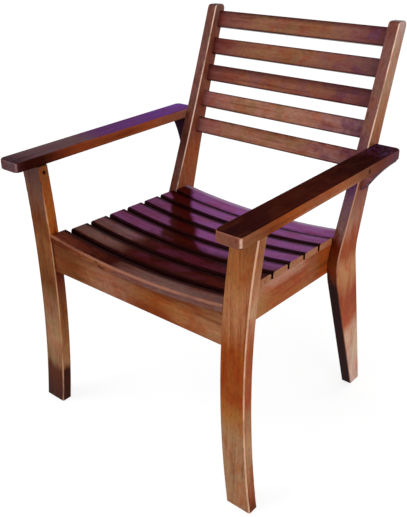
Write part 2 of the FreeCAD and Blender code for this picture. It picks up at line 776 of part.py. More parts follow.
# Brackets: small hollowed blocks between the post's outer face and the arm
bracket = new_body("arm_bracket_left")
sketch = new_sketch(bracket, "side", "YZ_Plane", post_outer_x)
add_outline(sketch, [
    (bracket_low_y, bracket_low_z),
    (bracket_low_y + S.bracket_depth, bracket_low_z),
    (arm_rear_y, arm_rear_z),
    (bracket_high_y, arm_under_z(bracket_high_y)),
])
pad(bracket, sketch, bracket_reach_x - post_outer_x)
sketch = new_sketch(bracket, "curve", "XZ_Plane", -arm_rear_y)
toe_x = post_outer_x + S.bracket_toe
lip_z = arm_rear_z - S.bracket_lip
hollow_x = (toe_x + bracket_reach_x) / 2 - S.bracket_hollow
hollow_z = (bracket_low_z + lip_z) / 2 + S.bracket_hollow
add_outline(sketch, [
    (toe_x, bracket_low_z),
    Via((hollow_x, hollow_z)),
    (bracket_reach_x, lip_z),
    (bracket_reach_x + S.bracket_toe, lip_z),
    (bracket_reach_x + S.bracket_toe, bracket_low_z - S.bracket_toe),
    (toe_x, bracket_low_z - S.bracket_toe),
])
pocket(bracket, sketch, S.bracket_depth * 4, symmetric=True)
sketch = new_sketch(bracket, "arm_screw_shank", "XY_Plane", bracket_low_z)
add_circle(sketch, (arm_screw_x, arm_screw_y), S.screw_shank_radius + S.joint_play)
pocket(bracket, sketch, S.bracket_height * 2, reverse=True)
sketch = new_sketch(bracket, "arm_screw_head", "XY_Plane", arm_screw_head_z + S.screw_head_height)
add_circle(sketch, (arm_screw_x, arm_screw_y), S.screw_head_radius + S.joint_play)
pocket(bracket, sketch, S.bracket_height)
bracket_screw_x = post_outer_x + S.bracket_screw_seat + S.screw_head_height
sketch = new_sketch(bracket, "post_screw_shank", "YZ_Plane", post_outer_x)
add_circle(sketch, (bracket_screw_y, bracket_screw_z), S.screw_shank_radius + S.joint_play)
pocket(bracket, sketch, S.bracket_screw_seat + S.screw_head_height, reverse=True)
sketch = new_sketch(bracket, "post_screw_head", "YZ_Plane", post_outer_x + S.bracket_screw_seat)
add_circle(sketch, (bracket_screw_y, bracket_screw_z), S.screw_head_radius + S.joint_play)
pocket(bracket, sketch, S.bracket_depth, reverse=True)
pieces.append(bracket)
pieces.append(mirrored(bracket, "arm_bracket_right"))


def cylinder(name, radius, length):
    """A round bar standing on its origin."""
    bar = doc.addObject("Part::Cylinder", name)
    bar.setExpression("Radius", radius.text)
    bar.setExpression("Height", length.text)
    return bar


def move_to(obj, x, y, z, axis=FreeCAD.Vector(0, 0, 1), angle=0):
    """Turn an object about an axis and put its origin at a driven point."""
    obj.Placement = FreeCAD.Placement(FreeCAD.Vector(0, 0, 0), FreeCAD.Rotation(axis, angle))
    for letter, size in (("x", x), ("y", y), ("z", z)):
        obj.setExpression(f"Placement.Base.{letter}", size.text)


def screw(name, length):
    """A slotted screw with its head face at the origin, pointing up."""
    shank = cylinder(f"{name}_shank", S.screw_shank_radius, length)
    head = cylinder(f"{name}_head", S.screw_head_radius, S.screw_head_height)
    whole = doc.addObject("Part::Fuse", f"{name}_blank")
    whole.Base = head
    whole.Tool = shank
    slot = doc.addObject("Part::Box", f"{name}_slot")
    slot.setExpression("Length", (S.screw_head_radius * 2).text)
    slot.setExpression("Width", S.screw_slot_width.text)
    slot.setExpression("Height", S.screw_slot_depth.text)
    move_to(slot, -S.screw_head_radius, -S.screw_slot_width / 2, ZERO)
    slotted = doc.addObject("Part::Cut", name)
    slotted.Base = whole
    slotted.Tool = slot
    return slotted


def group(name, members):
    """Identical fasteners of both sides as one piece of separate solids."""
    near_side = doc.addObject("Part::Compound", f"{name}_near")
    near_side.Links = members
    far_side = mirrored(near_side, f"{name}_far")
    both = doc.addObject("Part::Compound", name)
    both.Label = name
    both.Links = [near_side, far_side]
    return both


along_x = FreeCAD.Vector(0, 1, 0)

# Dowels that join the legs to the arms, each locked by a peg from the leg's inner face
blank = cylinder("arm_dowel_blank", S.arm_dowel_radius, S.arm_dowel_in_leg + S.arm_dowel_in_arm)
move_to(blank, arm_joint_x, arm_joint_y, dowel_low_z)
bore = cylinder("arm_dowel_bore", S.peg_radius + S.joint_play, S.arm_dowel_radius * 4)
move_to(bore, arm_joint_x - S.arm_dowel_radius * 2, arm_joint_y, peg_z, along_x, 90)
dowel = doc.addObject("Part::Cut", "arm_dowel")
dowel.Base = blank
dowel.Tool = bore
pieces.append(group("arm_dowels", [dowel]))
peg = cylinder("leg_peg", S.peg_radius, peg_length)
move_to(peg, peg_inner_x, arm_joint_y, peg_z, along_x, 90)
pieces.append(group("leg_pegs", [peg]))

# Dowels that pin the seat slats to the rails
slat_dowels = []
for number in range(slat_count + 1):
    dowel_x, dowel_y = dowel_spots[number]
    middle_y = slat_middles[number]
    foot_z = dish_z(dowel_x) - S.slat_dowel_in_rail
    dowel = cylinder(
        f"slat_dowel_{number + 1}", S.slat_dowel_radius, S.slat_dowel_in_rail + S.slat_dowel_in_slat)
    tilt(dowel, -S.seat_drop, seat_run)
    dowel.setExpression("Placement.Base.x", dowel_x.text)
    set_base(
        dowel,
        middle_y + dowel_y + foot_z * S.seat_drop / seat_run,
        S.seat_low_z - seat_drop_at(middle_y + dowel_y) + foot_z,
    )
    slat_dowels.append(dowel)
pieces.append(group("slat_dowels", slat_dowels))

# Screws from the side rails into the posts
post_screws = []
for number, z in enumerate(post_screw_heights):
    part = screw(f"post_screw_{number + 1}", post_screw_end_x - side_rail_inner_x)
    move_to(part, side_rail_inner_x, post_screw_y, z, along_x, 90)
    post_screws.append(part)
pieces.append(group("post_screws", post_screws))

# Screws that hold the brackets: one into the post, one up into the arm
part = screw("bracket_screw", bracket_screw_x - post_outer_x + S.bracket_screw_bite)
move_to(part, bracket_screw_x, bracket_screw_y, bracket_screw_z, along_x, -90)
pieces.append(group("bracket_screws", [part]))
part = screw("arm_screw", arm_screw_length)
move_to(part, arm_screw_x, arm_screw_y, arm_screw_head_z)
pieces.append(group("arm_screws", [part]))

# Check everything, then write one file for each piece
doc.recompute()
failed = [obj.Name for obj in doc.Objects if "Invalid" in obj.State or "Error" in obj.State]
for piece in pieces:
    if piece.Shape.isNull() or not piece.Shape.isValid():
        failed.append(piece.Label)
if failed:
    raise RuntimeError(f"failed: {failed}")
for piece in pieces:
    piece.Shape.exportStep(f"parts/{piece.Label}.step")
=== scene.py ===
import math

import bpy
from mathutils import Matrix, Vector

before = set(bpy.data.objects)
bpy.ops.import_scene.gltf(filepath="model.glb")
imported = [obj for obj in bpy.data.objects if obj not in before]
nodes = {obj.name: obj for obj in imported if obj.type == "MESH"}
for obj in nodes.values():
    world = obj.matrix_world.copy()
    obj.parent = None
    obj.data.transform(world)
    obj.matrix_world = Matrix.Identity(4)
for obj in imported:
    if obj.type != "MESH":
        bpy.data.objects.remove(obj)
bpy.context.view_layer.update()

# Front legs
# Two flat hardwood boards, sawn with a slow inward bow and dowelled up into the arms.
# Their arrises are rounded by hand, and the varnish lies in bands of tan, honey and amber up the leg.


def feed(tree, socket, value):
    """Join a socket to another one, or set a number or a colour on it."""
    if isinstance(value, bpy.types.NodeSocket):
        tree.links.new(value, socket)
    elif isinstance(value, tuple):
        socket.default_value = (*value, 1)
    else:
        socket.default_value = value


def reckoned(tree, operation, *values):
    """One step of arithmetic between sockets or numbers."""
    step = tree.nodes.new("ShaderNodeMath")
    step.operation = operation
    for socket, value in zip(step.inputs, values):
        feed(tree, socket, value)
    return step.outputs["Value"]


def times(tree, product, *others):
    for other in others:
        product = reckoned(tree, "MULTIPLY", product, other)
    return product


def plus(tree, first, second):
    return reckoned(tree, "ADD", first, second)


def less(tree, first, second):
    return reckoned(tree, "SUBTRACT", first, second)


def larger(tree, first, second):
    return reckoned(tree, "MAXIMUM", first, second)


def rising(tree, value, low, high, top=1.0):
    """0 at low, top at high and beyond, smooth between; low may be the larger one."""
    slope = tree.nodes.new("ShaderNodeMapRange")
    slope.interpolation_type = "SMOOTHSTEP"
    slope.inputs["From Min"].default_value = low
    slope.inputs["From Max"].default_value = high
    slope.inputs["To Max"].default_value = top
    feed(tree, slope.inputs["Value"], value)
    return slope.outputs["Result"]


def laid_over(tree, amount, under, over, mode="MIX"):
    """One coat of colour over another, by a socket or a number."""
    mix = tree.nodes.new("ShaderNodeMix")
    mix.data_type = "RGBA"
    mix.blend_type = mode
    feed(tree, mix.inputs["Factor"], amount)
    for name, colour in (("A", under), ("B", over)):
        feed(tree, [socket for socket in mix.inputs if socket.name == name and socket.type == "RGBA"][0], colour)
    return [socket for socket in mix.outputs if socket.type == "RGBA"][0]


def split_up(tree, vector):
    parts = tree.nodes.new("ShaderNodeSeparateXYZ")
    tree.links.new(vector, parts.inputs["Vector"])
    return {axis: parts.outputs[axis] for axis in "XYZ"}


def squeezed(tree, coordinates, scale):
    """The same coordinates squeezed by a factor for each axis."""
    squeeze = tree.nodes.new("ShaderNodeMapping")
    squeeze.inputs["Scale"].default_value = scale
    tree.links.new(coordinates, squeeze.inputs["Vector"])
    return squeeze.outputs["Vector"]


def noise(tree, coordinates, scale, detail, roughness=0.5, distortion=0.0):
    cloud = tree.nodes.new("ShaderNodeTexNoise")
    cloud.inputs["Scale"].default_value = scale
    cloud.inputs["Detail"].default_value = detail
    cloud.inputs["Roughness"].default_value = roughness
    cloud.inputs["Distortion"].default_value = distortion
    tree.links.new(coordinates, cloud.inputs["Vector"])
    return cloud.outputs["Fac"]


def toned(tree, place, tones):
    """Tones laid one after another along a board, as (metres, colour) from one end to the other."""
    start, end = tones[0][0], tones[-1][0]
    reach = tree.nodes.new("ShaderNodeMapRange")
    reach.inputs["From Min"].default_value = start
    reach.inputs["From Max"].default_value = end
    tree.links.new(place, reach.inputs["Value"])
    band = tree.nodes.new("ShaderNodeValToRGB")
    stops = band.color_ramp.elements
    while len(stops) < len(tones):
        stops.new(0.5)
    for stop, (metres, colour) in zip(stops, tones):
        stop.position = (metres - start) / (end - start)
        stop.color = (*colour, 1)
    tree.links.new(reach.outputs["Result"], band.inputs["Fac"])
    return band.outputs["Color"]


def tone(red, green, blue, haze=0.007):
    """A colour on a 0 to 255 screen scale, less the haze that the varnish adds."""
    linear = []
    for channel in (red, green, blue):
        level = channel / 255
        level = level / 12.92 if level <= 0.04045 else ((level + 0.055) / 1.055) ** 2.4
        linear.append(max(level - haze, 0.001))
    return tuple(linear)


def facing(tree, normals, side):
    """How squarely the surface looks one way, such as +X."""
    return times(tree, normals[side[1]], 1.0 if side[0] == "+" else -1.0)


def on_side(tree, normals, side):
    """1 on the faces that look one way, 0 on the others."""
    return rising(tree, facing(tree, normals, side), 0.5, 0.8)


def sawn_along(tree, coordinates, grain, seed):
    """The coordinates turned so that X runs up the grain, and moved to another part of the tree."""
    turn = tree.nodes.new("ShaderNodeMapping")
    along = Vector([1.0 if axis == grain else 0.0 for axis in "XYZ"])
    turn.inputs["Rotation"].default_value = along.rotation_difference(Vector((1, 0, 0))).to_euler()
    turn.inputs["Location"].default_value = (seed * 1.37, seed * 0.71, seed * 0.53)
    tree.links.new(coordinates, turn.inputs["Vector"])
    return turn.outputs["Vector"]


def grained(tree, board, colour, figure, streaks, contrast):
    """The lights and darks of the wood, over the colour of its varnish."""
    blotches = noise(tree, squeezed(tree, board, (1, 1.9, 1.9)), 17, 3, 0.6, 0.8)
    specks = noise(tree, squeezed(tree, board, (1, 2.6, 2.6)), 90, 2, 0.6)
    bands = plus(tree, times(tree, figure, 0.35), times(tree, streaks, 0.65))
    fibres = noise(tree, squeezed(tree, board, (7, 420, 420)), 1.4, 3, 0.7)
    warm, greenish = (0.96, 0.68, 0.5), (0.98, 1.14, 1.02)
    plum, cream = (0.72, 0.66, 0.8), (1.16, 1.12, 1.0)
    brown, pale, dusky = (0.62, 0.5, 0.42), (1.22, 1.24, 1.24), (0.6, 0.5, 0.42)
    for pattern, full, amount, tint in (
        (blotches, 0.64, 0.8, warm),
        (blotches, 0.38, 0.8, greenish),
        (specks, 0.36, 0.5, plum),
        (specks, 0.64, 0.5, cream),
        (bands, 0.36, 0.85, brown),
        (bands, 0.66, 0.9, pale),
        (fibres, 0.75, 0.35, dusky),
    ):
        cover = rising(tree, pattern, 0.5, full, amount * contrast)
        colour = laid_over(tree, cover, colour, tint, "MULTIPLY")
    return colour


def varnished_wood(name, grain, seed, faces, arris_highlights_and_wear=(), stains_and_painted_light=(), contrast=1.0, gloss=0.03, polish=0.18):
    """Varnished hardwood with its grain along one axis.

    Each of the faces is a side and its tones along the grain, the first for the whole board.
    Each of the arris highlights and wear is two sides whose rounded arris is painted lighter, a colour, an
    amount, and the places along the grain where it begins and is full; most are painted highlights, a few pale
    wear.
    Each of the stains and painted light is a colour and a function that builds its mask;
    some are stains, the others painted shade, highlights or reflections."""
    material = bpy.data.materials.new(name)
    material.use_nodes = True
    tree = material.node_tree
    shader = tree.nodes["Principled BSDF"]
    spot = tree.nodes.new("ShaderNodeTexCoord")
    place = split_up(tree, spot.outputs["Object"])
    normals = split_up(tree, spot.outputs["Normal"])
    board = sawn_along(tree, spot.outputs["Object"], grain, seed)
    figure = noise(tree, squeezed(tree, board, (1.0, 8, 8)), 3.2, 3, 0.55, 1.0)
    streaks = noise(tree, squeezed(tree, board, (1.4, 60, 60)), 2.6, 5, 0.66, 0.3)
    drift = plus(tree, times(tree, figure, 0.09), times(tree, streaks, 0.05))
    mean_drift = 0.07
    reading = plus(tree, place[grain], less(tree, drift, mean_drift))
    colour = toned(tree, reading, faces[0][1])
    for side, tones in faces[1:]:
        colour = laid_over(tree, on_side(tree, normals, side), colour, toned(tree, reading, tones))
    for overlay_colour, mask in stains_and_painted_light:
        colour = laid_over(tree, mask(tree, place, normals, board), colour, overlay_colour)
    colour = grained(tree, board, colour, figure, streaks, contrast)
    pores = noise(tree, squeezed(tree, board, (60, 1100, 1100)), 1.0, 2, 0.5)
    pits = rising(tree, pores, 0.6, 0.72)
    dark_pore, dark_end = (0.4, 0.3, 0.25), (0.34, 0.26, 0.2)
    colour = laid_over(tree, times(tree, pits, 0.4), colour, dark_pore, "MULTIPLY")
    cut_end = rising(tree, reckoned(tree, "ABSOLUTE", normals[grain]), 0.75, 0.92, 0.6)
    colour = laid_over(tree, cut_end, colour, dark_end, "MULTIPLY")
    # A patchy mask along the grain that breaks up the painted arris highlights and the pale wear.
    patchy_wear_and_highlight = rising(tree, noise(tree, squeezed(tree, board, (9, 1, 1)), 1.0, 4, 0.6), 0.28, 0.52)
    for first, second, light, amount, begins, full in arris_highlights_and_wear:
        both = times(tree, facing(tree, normals, first), facing(tree, normals, second))
        arris = times(tree, rising(tree, both, 0.12, 0.36, amount), rising(tree, reading, begins, full))
        colour = laid_over(tree, times(tree, arris, patchy_wear_and_highlight), colour, light)
    tree.links.new(colour, shader.inputs["Base Color"])
    smears = rising(tree, noise(tree, squeezed(tree, board, (2, 9, 9)), 5, 3), 0.2, 0.8, 0.14)
    tree.links.new(plus(tree, smears, polish), shader.inputs["Roughness"])
    bump = tree.nodes.new("ShaderNodeBump")
    bump.inputs["Strength"].default_value = 0.22
    bump.inputs["Distance"].default_value = 0.0005
    tree.links.new(less(tree, times(tree, streaks, 0.6), times(tree, pits, 0.5)), bump.inputs["Height"])
    tree.links.new(bump.outputs["Normal"], shader.inputs["Normal"])
    shader.inputs["IOR"].default_value = 1.5
    shader.inputs["Specular IOR Level"].default_value = gloss
    return material


def give(node, material):
    """Lay one material on a carried piece."""
    piece = nodes[node]
    piece.data.materials.clear()
    piece.data.materials.append(material)


tan = tone(154, 112, 82)
honey = tone(152, 94, 48)
amber = tone(140, 70, 31)
fawn = tone(160, 104, 70)
nut = tone(144, 86, 50)
pale_tan = tone(172, 124, 92)
bright_amber = tone(156, 76, 36)
russet = tone(112, 58, 26)
umber = tone(62, 30, 14)
whole_length = (-1, 0)
dull_edge = ("-X", "-Y", tone(150, 92, 58), 0.4, *whole_length)
# The near leg's front outer arris carries a painted highlight; its inner front arris has pale wear.
give("front_leg_left", varnished_wood("near_leg_wood", "Z", 1, [
    ("all", [(0.0, tan), (0.17, tan), (0.225, honey), (0.27, amber), (0.375, amber),
             (0.43, fawn), (0.48, fawn), (0.53, nut), (0.6, nut)]),
    ("+X", [(0.0, russet), (0.03, tone(138, 68, 40)), (0.08, tone(150, 98, 64)), (0.15, pale_tan),
            (0.23, fawn), (0.275, bright_amber), (0.375, bright_amber), (0.47, tone(180, 132, 102)),
            (0.53, fawn), (0.58, nut)]),
], [("+X", "-Y", tone(226, 178, 148), 0.85, *whole_length), dull_edge]))
# The far leg's inner face is painted darker at the height of the front rail, as the rail's shade, and a painted
# highlight runs up its inner front arris to a little below the arm; its outer front arris has pale wear.
give("front_leg_right", varnished_wood("far_leg_wood", "Z", 2, [
    ("all", [(0.0, umber), (0.095, tone(82, 38, 16)), (0.115, tone(130, 92, 64)), (0.18, tan),
             (0.28, tone(130, 88, 62)), (0.325, tone(103, 57, 25)), (0.43, tone(124, 76, 42)),
             (0.475, tone(105, 54, 23)), (0.53, tone(108, 68, 54)), (0.6, tone(98, 66, 60))]),
    ("+X", [(0.0, umber), (0.095, umber), (0.115, tone(152, 108, 74)), (0.18, tone(150, 104, 68)),
            (0.25, tone(132, 84, 50)), (0.33, tone(112, 56, 36)), (0.38, tone(78, 32, 14)),
            (0.43, tone(80, 34, 16)), (0.465, tone(168, 86, 40)), (0.53, tone(168, 88, 42)),
            (0.6, tone(128, 70, 42))]),
], [("+X", "-Y", tone(208, 160, 124), 0.6, 0.57, 0.5), dull_edge]))

# Back posts
# One bent hardwood board on each side, sawn from a wide plank so that it kicks back at the foot and leans back
# above the seat. The side rails are screwed to it, and its grain runs up the board, darker on the front face
# with painted shade below the seat; painted highlights run up its front arrises.
mauve = tone(116, 74, 68)
# Painted shade for the front faces of the posts below the seat.
post_front_shade = tone(44, 16, 12)
post_glint = tone(236, 200, 176)
faint_glint = tone(140, 90, 70)
near_cap, far_cap = tone(110, 72, 66), tone(86, 48, 52)
# The near post's front outer arris carries painted highlights, faint low down and brightest at the arm and
# above.
give("back_post_left", varnished_wood("near_post_wood", "Z", 3, [
    ("all", [(0.0, tone(150, 104, 80)), (0.2, tone(150, 80, 46)), (0.4, amber), (0.6, mauve), (0.88, mauve)]),
    ("+X", [(0.0, tone(206, 170, 156)), (0.18, tone(204, 160, 134)), (0.215, tone(168, 80, 36)),
            (0.26, tone(148, 62, 20)), (0.29, tone(150, 64, 22)), (0.335, tone(174, 108, 66)),
            (0.375, tone(182, 122, 80)), (0.405, tone(150, 68, 28)), (0.44, tone(150, 68, 28)),
            (0.48, tone(158, 104, 84)), (0.55, tone(130, 72, 58)), (0.675, tone(156, 94, 60)),
            (0.775, tone(164, 122, 98)), (0.84, tone(164, 120, 98)), (0.886, tone(176, 144, 136))]),
    ("-Y", [(0.0, post_front_shade), (0.33, post_front_shade), (0.375, tone(118, 54, 28)), (0.425, tone(96, 42, 29)),
            (0.475, tone(116, 80, 78)), (0.53, tone(104, 70, 84)), (0.56, tone(80, 44, 80)),
            (0.6, tone(76, 40, 70)), (0.675, tone(128, 84, 74)), (0.88, mauve)]),
    ("+Z", [(0.8, near_cap), (0.9, near_cap)]),
], [
    ("+X", "-Y", faint_glint, 0.6, *whole_length),
    ("+X", "-Y", tone(190, 142, 118), 0.9, 0.34, 0.42),
    ("+X", "-Y", post_glint, 1.0, 0.6, 0.66),
]))
# The far post's front face is painted dark below the seat as shade and darker just under the arm as the arm's
# shadow; painted highlights run up both front arrises from the seat upwards.
give("back_post_right", varnished_wood("far_post_wood", "Z", 4, [
    ("all", [(0.0, russet), (0.2, amber), (0.45, tone(148, 84, 58)), (0.54, tone(152, 82, 48)),
             (0.6, tone(134, 76, 60)), (0.82, tone(132, 76, 62)), (0.88, tone(126, 86, 80))]),
    ("+Z", [(0.8, far_cap), (0.9, far_cap)]),
    ("-Y", [(0.0, post_front_shade), (0.4, tone(90, 50, 40)), (0.5, tone(108, 70, 62)), (0.575, tone(88, 46, 37)),
            (0.675, mauve), (0.75, mauve), (0.825, tone(102, 68, 60)), (0.88, mauve)]),
], [
    ("+X", "-Y", post_glint, 0.95, 0.42, 0.48),
    ("-X", "-Y", faint_glint, 0.4, 0.4, 0.5),
]))

# Seat frame
# Front, side and rear rails of the same hardwood, tenoned together and screwed to the posts;
# their top edges are hollowed to carry the dished slats.


def between(tree, value, begins, full, fades, ends):
    """1 from full to fades, 0 before begins and after ends."""
    return times(tree, rising(tree, value, begins, full), rising(tree, value, ends, fades))


def nosing_shade(tree, place, normals, board):
    """Painted shade on the upper part of the front rail, under the first slat."""
    return rising(tree, place["Z"], 0.405, 0.435, 0.5)


def red_patch(tree, place, normals, board):
    """A redder patch low on the front rail, right of the middle."""
    middle = between(tree, place["X"], -0.02, 0.03, 0.08, 0.12)
    return times(tree, middle, rising(tree, place["Z"], 0.397, 0.38, 0.8))


def rail_top_highlight(tree, place, normals, board):
    """A pale highlight painted along the upper part of the near rail."""
    middle = between(tree, place["Y"], -0.17, -0.1, 0.0, 0.05)
    return times(tree, middle, rising(tree, place["Z"], 0.405, 0.428, 0.75))


give("front_rail", varnished_wood("front_rail_wood", "X", 5, [
    ("all", [(-0.24, tone(112, 60, 32)), (-0.165, tone(106, 58, 26)), (-0.125, tone(132, 83, 54)),
             (-0.075, tone(144, 94, 72)), (-0.025, tone(138, 90, 68)), (0.025, tone(130, 80, 49)),
             (0.075, tone(130, 64, 29)), (0.125, nut), (0.24, tone(148, 100, 70))]),
], stains_and_painted_light=[(tone(92, 46, 26), nosing_shade), (tone(118, 52, 24), red_patch)]))
give("side_rail_left", varnished_wood("near_side_rail_wood", "Y", 7, [
    ("all", [(-0.24, tone(158, 104, 68)), (-0.175, tone(172, 120, 85)), (-0.125, tone(163, 104, 59)),
             (-0.075, tone(160, 82, 40)), (0.0, tone(158, 82, 42)), (0.03, tone(150, 86, 48)),
             (0.075, tone(138, 70, 36)), (0.13, tone(164, 72, 36)), (0.2, tone(142, 82, 52))]),
], stains_and_painted_light=[(tone(184, 130, 112), rail_top_highlight)]))
give("side_rail_right", varnished_wood("far_side_rail_wood", "Y", 8, [
    ("all", [(-0.24, nut), (-0.1, amber), (0.05, russet), (0.2, amber)]),
]))
give("rear_rail", varnished_wood("rear_rail_wood", "X", 6, [
    ("all", [(-0.24, russet), (-0.1, nut), (0.1, amber), (0.24, russet)]),
]))

# Seat slats
# Eight thin boards bent across the seat and pinned to the rails with dowels, their long edges rounded.
# The varnish is nearly black-brown in the middle; towards the back and the sides it carries a painted purple
# reflection, broken by a dark streak that is the painted reflection of the far post.
slat_pitch = 0.0585
slat_width = 0.0515
first_slat_back = -0.2269


def wandering(tree, board, scale, reach):
    """A small push to and fro, which leaves an edge of varnish uneven."""
    return times(tree, less(tree, noise(tree, board, scale, 3), 0.5), reach)


def upper_face(tree, normals):
    return rising(tree, normals["Z"], 0.1, 0.4)


def off_post_reflection(tree, place):
    """How far a spot lies to the right of the dark streak, painted as the reflection of the far post, in metres.
    """
    start_x, start_y = -0.240, 0.165
    heading_x, heading_y = 0.6365, -0.7713
    east = times(tree, less(tree, place["X"], start_x), -heading_y)
    north = times(tree, less(tree, place["Y"], start_y), heading_x)
    return plus(tree, east, north)


def painted_purple_reflection(tree, place, normals, board):
    """Painted purple reflection behind the middle and on both sides of the dark streak, which widens forwards.
    """
    wander = wandering(tree, board, 14, 0.07)
    away = plus(tree, off_post_reflection(tree, place), times(tree, wander, 0.5))
    right_edge = plus(tree, away, times(tree, reckoned(tree, "MINIMUM", place["Y"], 0.1), 0.1))
    left_edge = less(tree, away, times(tree, reckoned(tree, "MINIMUM", place["Y"], 0.02), 0.15))
    left_edge = plus(tree, left_edge, rising(tree, place["Y"], 0.085, 0.11, 0.007))
    beside = larger(tree, rising(tree, right_edge, 0.029, 0.044), rising(tree, left_edge, -0.02, -0.035))
    depth = plus(tree, place["Y"], wander)
    left_part = rising(tree, place["X"], -0.09, -0.15)
    behind = larger(tree, rising(tree, depth, -0.115, -0.045),
                    times(tree, left_part, rising(tree, depth, -0.17, -0.1)))
    return times(tree, beside, behind, upper_face(tree, normals))


def redder_reflection_left(tree, place, normals, board):
    """The painted purple reflection is redder and darker to the left of the dark streak."""
    left_of_streak = rising(tree, off_post_reflection(tree, place), 0.0, -0.02)
    return times(tree, painted_purple_reflection(tree, place, normals, board), left_of_streak)


def mauve_sheen_front(tree, place, normals, board):
    """A dull mauve sheen painted as a reflection on the left ends of the front slats and along the very first
    one.
    """
    across = plus(tree, place["X"], wandering(tree, board, 20, 0.06))
    rows = between(tree, place["Y"], -0.22, -0.2, -0.12, -0.105)
    left_ends = times(tree, rising(tree, across, -0.07, -0.14), rows)
    first_slat = times(tree, rising(tree, across, -0.06, 0.0), rising(tree, place["Y"], -0.232, -0.25))
    return times(tree, larger(tree, left_ends, first_slat), 0.85)


def rear_lip_highlight(tree, place, normals, board):
    """A painted highlight on the rounded rear edge of the last slat."""
    return times(tree, upper_face(tree, normals), rising(tree, place["Y"], 0.16, 0.175, 0.8))


def gap_edge_shade(back, front):
    """Painted shade on both long edges of a slat, where they roll down into the gaps."""
    def mask(tree, place, normals, board):
        return larger(tree, rising(tree, place["Y"], back - 0.018, back - 0.006, 0.97),
                      rising(tree, place["Y"], front + 0.01, front + 0.004, 0.97))
    return mask


def dark_mottle(tree, place, normals, board):
    """Darker drifts in the varnish of the front slats."""
    drifts = rising(tree, noise(tree, squeezed(tree, board, (0.5, 1.4, 1.4)), 60, 3, 0.6), 0.5, 0.62, 0.7)
    return times(tree, drifts, rising(tree, place["Y"], -0.02, -0.1))


def wine_patches(tree, place, normals, board):
    """Dull wine-red patches in the middle of the front slats."""
    middle = rising(tree, reckoned(tree, "ABSOLUTE", less(tree, place["X"], 0.04)), 0.16, 0.08)
    rows = between(tree, place["Y"], -0.215, -0.18, -0.07, -0.02)
    patches = rising(tree, noise(tree, squeezed(tree, board, (0.6, 1, 1)), 26, 2), 0.46, 0.56, 0.65)
    return times(tree, middle, rows, patches)


def sawn_end_highlight(tree, place, normals, board):
    """A pale highlight painted on the sawn ends, as pale as the highlight on the rail that they lie on."""
    return rising(tree, reckoned(tree, "ABSOLUTE", normals["X"]), 0.6, 0.85)


def under_nose_shade(tree, place, normals, board):
    """Painted shade on the lower roll of the front edge."""
    return rising(tree, facing(tree, normals, "-Z"), 0.0, 0.35, 0.85)


front_slats = [(-0.24, tone(100, 50, 36)), (-0.14, tone(82, 37, 27)), (-0.06, tone(60, 25, 19)),
               (0.1, tone(60, 26, 20)), (0.24, tone(82, 38, 32))]
rear_slats = [(-0.24, tone(64, 27, 26)), (0.24, tone(60, 25, 24))]
nosing = [(-0.24, tone(96, 48, 30)), (-0.08, tone(126, 74, 52)), (0.06, tone(112, 62, 44)),
          (0.24, tone(126, 76, 54))]
# The front sides of the slats behind the first are painted nearly black as shade in the gaps.
gap_side_shade = [(-0.24, tone(36, 14, 10)), (0.24, tone(36, 14, 10))]
for number in range(1, 9):
    back = first_slat_back + slat_pitch * (number - 1)
    front = -1 if number == 1 else back - slat_width
    stains_and_painted_light = [
        (tone(48, 19, 16), dark_mottle),
        (tone(84, 36, 54), wine_patches),
        (tone(130, 74, 128), painted_purple_reflection),
        (tone(120, 64, 104), redder_reflection_left),
        (tone(112, 78, 74), mauve_sheen_front),
        (tone(158, 136, 160), rear_lip_highlight) if number == 8 else (tone(38, 14, 14), gap_edge_shade(back, front)),
        (tone(54, 24, 20), under_nose_shade),
        (tone(206, 145, 112), sawn_end_highlight),
    ]
    # The first slat has a painted highlight along the rounded top of its front edge.
    give(f"seat_slat_{number}", varnished_wood(f"seat_wood_{number}", "X", 10 + number, [
        ("all", front_slats if number < 5 else rear_slats),
        ("-Y", nosing if number == 1 else gap_side_shade),
    ], [("-Y", "+Z", tone(166, 112, 90), 0.65, *whole_length)] if number == 1 else [], stains_and_painted_light,
        contrast=1.1 if number < 4 else 0.7, gloss=0.006, polish=0.12))

# Back slats
# Five straight boards let into the posts, leaning back with them,
# orange-brown in the middle of each, darker towards the ends with painted shade where they go into the posts,
# and darker along the long edges, with painted shade along the lower one.
top_slat_y, top_slat_z = 0.3089, 0.8504
forward_per_slat, down_per_slat = 0.0209, 0.06275
lean_up, lean_back = 0.949, 0.316


def purple_end(tree, place, normals, board):
    """Purple patches in the varnish near the right ends."""
    patches = rising(tree, noise(tree, board, 30, 2), 0.46, 0.56, 0.55)
    front_face = rising(tree, facing(tree, normals, "-Y"), 0.0, 0.4)
    return times(tree, rising(tree, place["X"], 0.02, 0.2), front_face, patches)


def olive_middle(tree, place, normals, board):
    """Greenish tan patches in the middle."""
    middle = rising(tree, reckoned(tree, "ABSOLUTE", plus(tree, place["X"], 0.03)), 0.15, 0.08)
    return times(tree, middle, rising(tree, noise(tree, board, 24, 2), 0.54, 0.44, 0.45))


def dark_and_shaded_edges(middle_y, middle_z, upper_band_width):
    """The two long edges of a leaning slat: a ragged dark band along the upper one, and painted shade along the
    lower one.
    """
    def mask(tree, place, normals, board):
        height = plus(tree, times(tree, less(tree, place["Z"], middle_z), lean_up),
                      times(tree, less(tree, place["Y"], middle_y), lean_back))
        ragged = plus(tree, height, times(tree, noise(tree, board, 60, 2), 0.006))
        return larger(tree, rising(tree, ragged, 0.0225 - upper_band_width, 0.0235, 0.85),
                      rising(tree, height, -0.0145, -0.0195, 0.85))
    return mask


